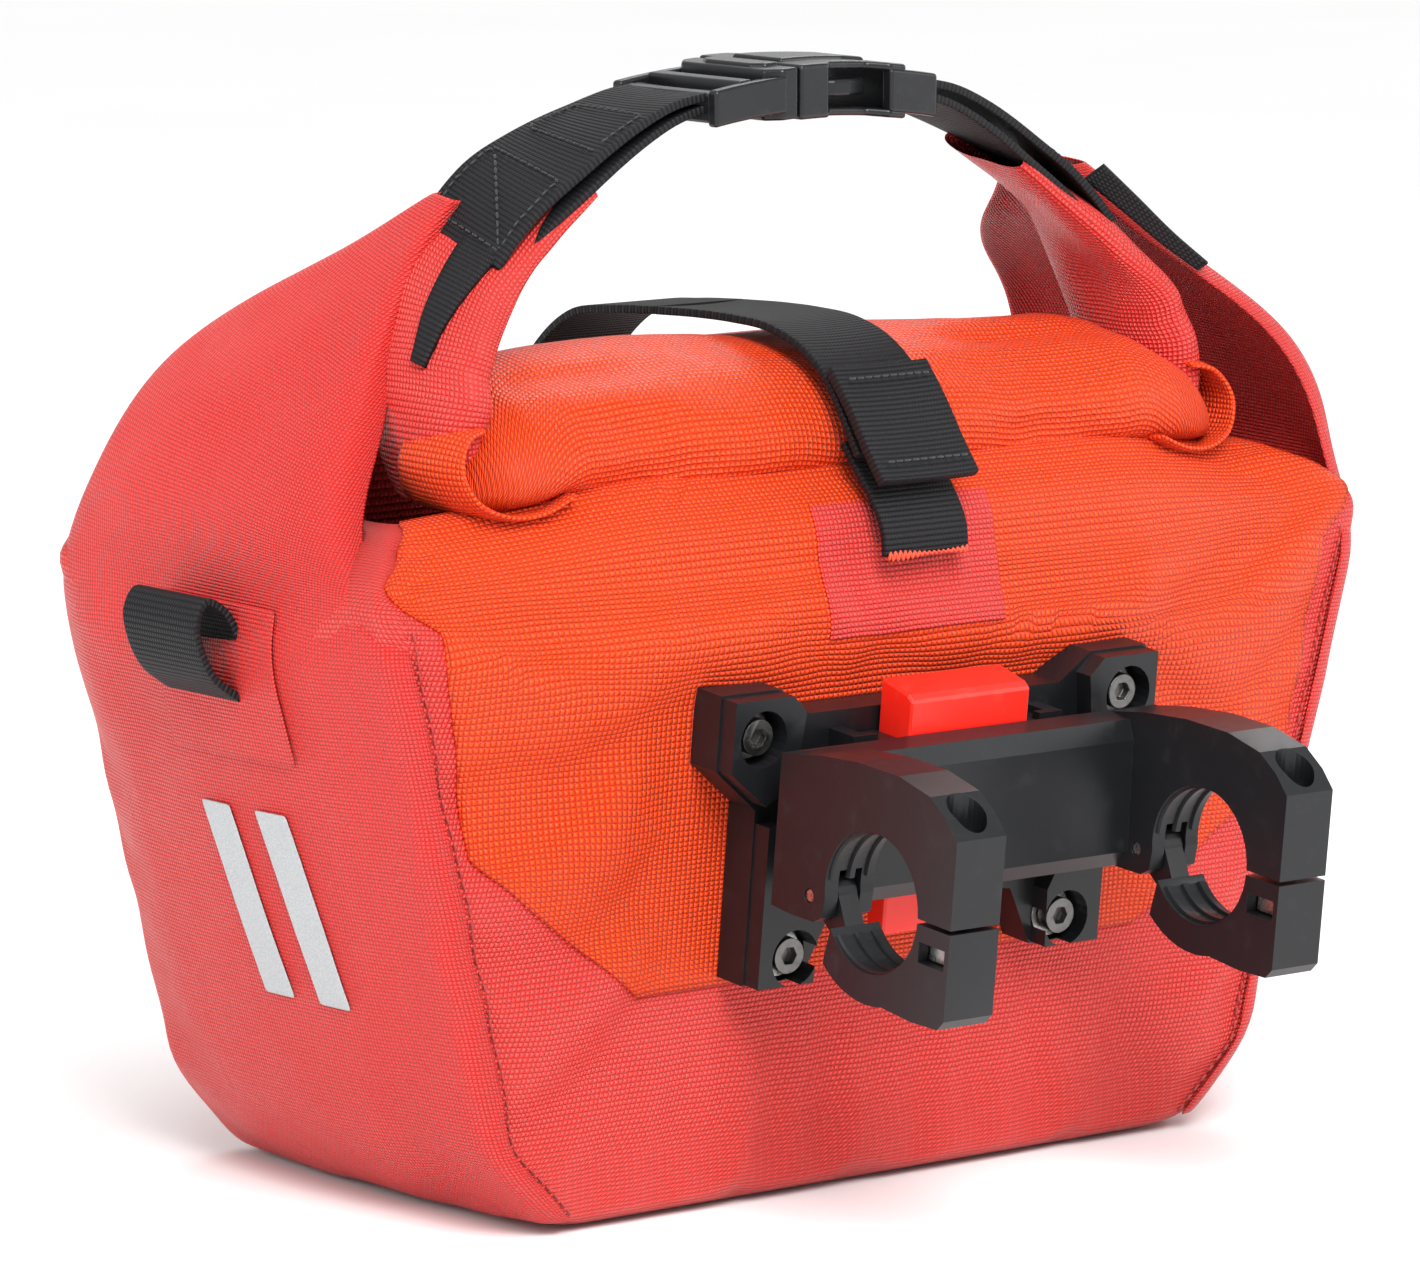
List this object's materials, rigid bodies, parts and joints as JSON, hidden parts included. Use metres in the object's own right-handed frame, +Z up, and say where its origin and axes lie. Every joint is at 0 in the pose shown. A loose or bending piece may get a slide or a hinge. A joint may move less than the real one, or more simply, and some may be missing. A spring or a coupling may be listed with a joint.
{
  "type": "roll-top handlebar bag",
  "caption": "Roll-top fabric bag with a buckled carrying handle and a closing strap, on a quick-release plate with two hinged clamps for a handlebar.",
  "frame": {"origin": "middle of the flat bottom, on the surface that the bag stands on", "axes": "+X along the handlebar to the right, -Y towards the handlebar, +Z up"},
  "size_m": [0.3194, 0.2235, 0.256],
  "materials": {
    "coral_fabric": "coated woven fabric, fine weave, soft sheen",
    "orange_fabric": "coated fabric, coarse dotted weave, matte",
    "black_webbing": "ribbed woven webbing, matte",
    "black_plastic": "satin moulded plastic, fine texture",
    "red_plastic": "smooth moulded plastic, semi-gloss",
    "steel": "dark zinc-plated steel",
    "reflective": "pale grey reflective film"
  },
  "bodies": {
    "bag": {"body_wrap": "coral_fabric", "left_side_panel": "coral_fabric", "right_side_panel": "coral_fabric", "left_loop_patch": "coral_fabric", "right_loop_patch": "coral_fabric", "strap_patch": "coral_fabric", "rear_panel": "orange_fabric", "roll_top": "orange_fabric", "strap_base": "black_webbing", "strap_anchor": "black_webbing", "left_loop": "black_webbing", "right_loop": "black_webbing", "roll_stiffener": "black_plastic", "bag_plate": "black_plastic", "backing_plate": "black_plastic", "plate_screw_1": "steel", "plate_screw_2": "steel", "plate_screw_3": "steel", "plate_screw_4": "steel", "plate_washer_1": "steel", "plate_washer_2": "steel", "plate_washer_3": "steel", "plate_washer_4": "steel", "backing_nut_1": "steel", "backing_nut_2": "steel", "backing_nut_3": "steel", "backing_nut_4": "steel", "left_reflector_1": "reflective", "left_reflector_2": "reflective", "right_reflector_1": "reflective", "right_reflector_2": "reflective"},
    "strap": {"strap_flap": "black_webbing", "pull_tab": "black_webbing"},
    "left_handle": {"left_gable": "coral_fabric", "left_tail": "coral_fabric", "left_handle_webbing": "black_webbing", "buckle_male": "black_plastic"},
    "right_handle": {"right_gable": "coral_fabric", "right_tail": "coral_fabric", "right_handle_webbing": "black_webbing", "buckle_female": "black_plastic"},
    "front_prong": {"front_prong": "black_plastic"},
    "back_prong": {"back_prong": "black_plastic"},
    "adapter": {"adapter_body": "black_plastic", "left_hinge_pin": "steel", "right_hinge_pin": "steel", "release_spring": "steel"},
    "release": {"release_button": "red_plastic"},
    "left_jaw": {"left_jaw": "black_plastic", "left_clamp_nut": "steel"},
    "right_jaw": {"right_jaw": "black_plastic", "right_clamp_nut": "steel"},
    "left_screw": {"left_clamp_screw": "steel"},
    "right_screw": {"right_clamp_screw": "steel"}
  },
  "joints": [
    {"name": "closing_strap", "type": "hinge", "parent": "bag", "child": "strap", "pos_m": [0, 0.006, 0.1956], "axis": [-1, 0, 0], "range_deg": [0, 52]},
    {"name": "left_handle_fold", "type": "hinge", "parent": "bag", "child": "left_handle", "pos_m": [-0.142, -0.02, 0.153], "axis": [0, -1, 0], "range_deg": [0, 80]},
    {"name": "right_handle_fold", "type": "hinge", "parent": "bag", "child": "right_handle", "pos_m": [0.142, -0.02, 0.153], "axis": [0, 1, 0], "range_deg": [0, 80]},
    {"name": "buckle_front_prong", "type": "hinge", "parent": "left_handle", "child": "front_prong", "pos_m": [-0.007, -0.0325, 0.25], "axis": [0, 0, 1], "range_deg": [0, 7], "stiffness_Nm_per_rad": 0.4},
    {"name": "buckle_back_prong", "type": "hinge", "parent": "left_handle", "child": "back_prong", "pos_m": [-0.007, -0.0075, 0.25], "axis": [0, 0, -1], "range_deg": [0, 7], "stiffness_Nm_per_rad": 0.4},
    {"name": "quick_release", "type": "slide", "parent": "bag", "child": "adapter", "axis": [0, 0.1045, -0.9945], "range_m": [0, 0.04]},
    {"name": "release_button", "type": "slide", "parent": "adapter", "child": "release", "axis": [0, 0.1045, -0.9945], "range_m": [0, 0.005], "stiffness_N_per_m": 600, "deforming": ["release_spring"]},
    {"name": "left_clamp_jaw", "type": "hinge", "parent": "adapter", "child": "left_jaw", "pos_m": [-0.0483, -0.10053, 0.07854], "axis": [1, 0, 0], "range_deg": [0, 70]},
    {"name": "right_clamp_jaw", "type": "hinge", "parent": "adapter", "child": "right_jaw", "pos_m": [0.0483, -0.10053, 0.07854], "axis": [1, 0, 0], "range_deg": [0, 70]},
    {"name": "left_clamp_screw", "type": "slide", "parent": "adapter", "child": "left_screw", "axis": [0, 0.1045, -0.9945], "range_m": [0, 0.0085]},
    {"name": "right_clamp_screw", "type": "slide", "parent": "adapter", "child": "right_screw", "axis": [0, 0.1045, -0.9945], "range_m": [0, 0.0085]}
  ],
  "couplings": [
    {"joint": "left_handle_fold", "follows": "right_handle_fold", "ratio": 1},
    {"joint": "buckle_back_prong", "follows": "buckle_front_prong", "ratio": 1}
  ]
}
